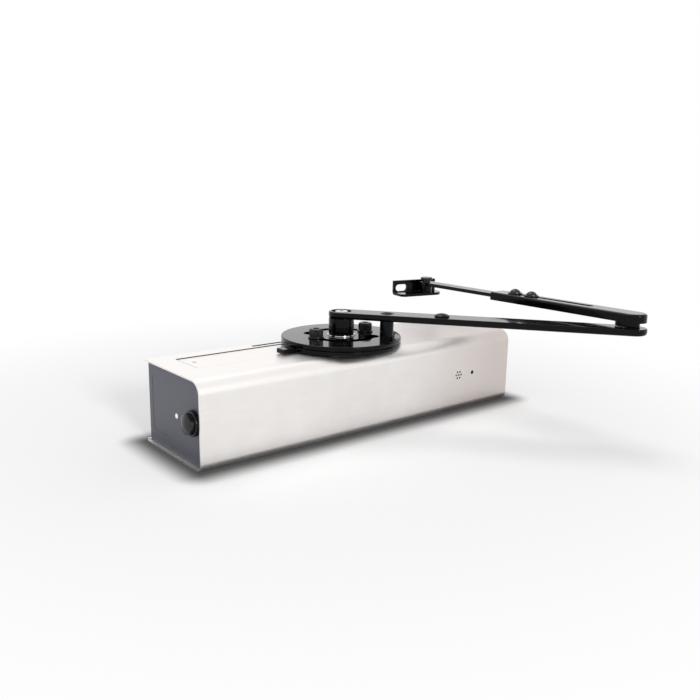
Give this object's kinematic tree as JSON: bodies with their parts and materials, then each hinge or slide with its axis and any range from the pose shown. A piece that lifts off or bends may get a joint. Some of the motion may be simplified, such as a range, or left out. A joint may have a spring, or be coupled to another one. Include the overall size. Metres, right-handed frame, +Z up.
{
  "type": "free swing door closer",
  "caption": "Battery powered free swing door closer: stainless box casing with two stacked slotted discs on the spindle, a flat main arm, a sliding forearm and a fixing shoe.",
  "frame": {"origin": "centre of the four door fixing holes, on the rear face of the mounting plate that lies on the door", "axes": "+X along the casing towards the end with the sounder holes, +Y out of the rear face into the door, +Z up along the spindle"},
  "size_m": [0.4025, 0.3056, 0.1341],
  "materials": {
    "stainless": "fine brushed along X",
    "slate_plastic": "fine matt",
    "black_plastic": "polished",
    "button_plastic": "polished",
    "light_plastic": "translucent white",
    "black_coat": "glossy black powder coat",
    "zinc_steel": "zinc plated",
    "black_screw": "black oxide",
    "bright_steel": "polished",
    "hardened_steel": "ground",
    "spring_steel": "oil tempered",
    "cast_aluminium": "as cast",
    "bronze": "machined",
    "seal_rubber": "matt",
    "board": "solder resist",
    "tray_plastic": "matt",
    "cell_wrap": "plain wrap",
    "contact_metal": "nickel plated",
    "sounder_plastic": "matt"
  },
  "bodies": {
    "casing": {"cover": "stainless", "access_panel": "stainless", "panel_screw": "zinc_steel", "cover_screws": "zinc_steel", "mounting_plate": "black_coat", "left_end_plate": "slate_plastic", "right_end_plate": "slate_plastic", "end_plate_screws": "zinc_steel", "button_bezel": "black_plastic", "status_light": "light_plastic", "control_board": "board", "button_switch": "black_plastic", "board_screws": "zinc_steel", "battery_tray": "tray_plastic", "battery_cells": "cell_wrap", "battery_contacts": "contact_metal", "sound_bracket": "zinc_steel", "sound_board": "board", "sounder": "sounder_plastic", "microphone": "sounder_plastic", "saddles": "zinc_steel", "unit_screws": "zinc_steel", "unit_housing": "cast_aluminium", "regulating_valves": "bronze", "solenoid_valve": "zinc_steel", "end_cap": "hardened_steel", "spring_adjuster": "hardened_steel", "bore_seals": "seal_rubber", "upper_bearing": "bronze", "lower_bearing": "bronze", "shaft_seal": "seal_rubber", "seal_retainer": "hardened_steel", "bottom_cap": "hardened_steel", "closing_spring": "spring_steel"},
    "spindle": {"pinion_shaft": "hardened_steel", "drive_disc": "black_coat", "drive_screws": "black_screw", "drive_washers": "black_screw", "retaining_washer": "black_screw", "retaining_screw": "bright_steel"},
    "piston": {"piston": "hardened_steel", "piston_rings": "bronze"},
    "arm": {"swing_disc": "black_coat", "hub": "black_coat", "hub_ring": "bright_steel", "hub_bush": "bronze", "main_arm": "black_coat", "post": "black_coat", "arm_stud": "black_coat", "elbow_pin": "hardened_steel", "elbow_spacer": "black_coat"},
    "forearm": {"forearm_channel": "black_coat", "elbow_block": "black_coat", "elbow_bush": "bronze"},
    "rod": {"slide_rod": "black_coat", "clamp_screws": "black_screw"},
    "shoe": {"shoe_bracket": "black_coat", "pivot_spacer": "black_coat", "pivot_bolt": "black_screw"},
    "button": {"push_button": "button_plastic"}
  },
  "joints": [
    {"name": "spindle_turn", "type": "hinge", "parent": "casing", "child": "spindle", "pos_m": [-0.008, -0.0547, 0], "axis": [0, 0, 1], "range_deg": [0, 120], "stiffness_Nm_per_rad": 12, "springref_deg": -34.38},
    {"name": "piston_slide", "type": "slide", "parent": "casing", "child": "piston", "axis": [1, 0, 0], "range_m": [0, 0.0253], "deforming": ["closing_spring"]},
    {"name": "arm_free_swing", "type": "hinge", "parent": "spindle", "child": "arm", "pos_m": [-0.008, -0.0547, 0], "axis": [0, 0, 1], "range_deg": [-130, 0]},
    {"name": "elbow", "type": "hinge", "parent": "arm", "child": "forearm", "pos_m": [0.16384, -0.27703, 0], "axis": [0, 0, 1], "range_deg": [-142, 19]},
    {"name": "rod_slide", "type": "slide", "parent": "forearm", "child": "rod", "axis": [-0.007, 1, 0], "range_m": [-0.06, 0.0044]},
    {"name": "shoe_pivot", "type": "hinge", "parent": "rod", "child": "shoe", "pos_m": [0.16193, -0.00404, 0], "axis": [0, 0, 1], "range_deg": [-75, 75]},
    {"name": "button_press", "type": "slide", "parent": "casing", "child": "button", "axis": [1, 0, 0], "range_m": [0, 0.0025], "stiffness_N_per_m": 800}
  ],
  "couplings": [
    {"joint": "piston_slide", "follows": "spindle_turn", "m_per_rad": 0.012}
  ]
}
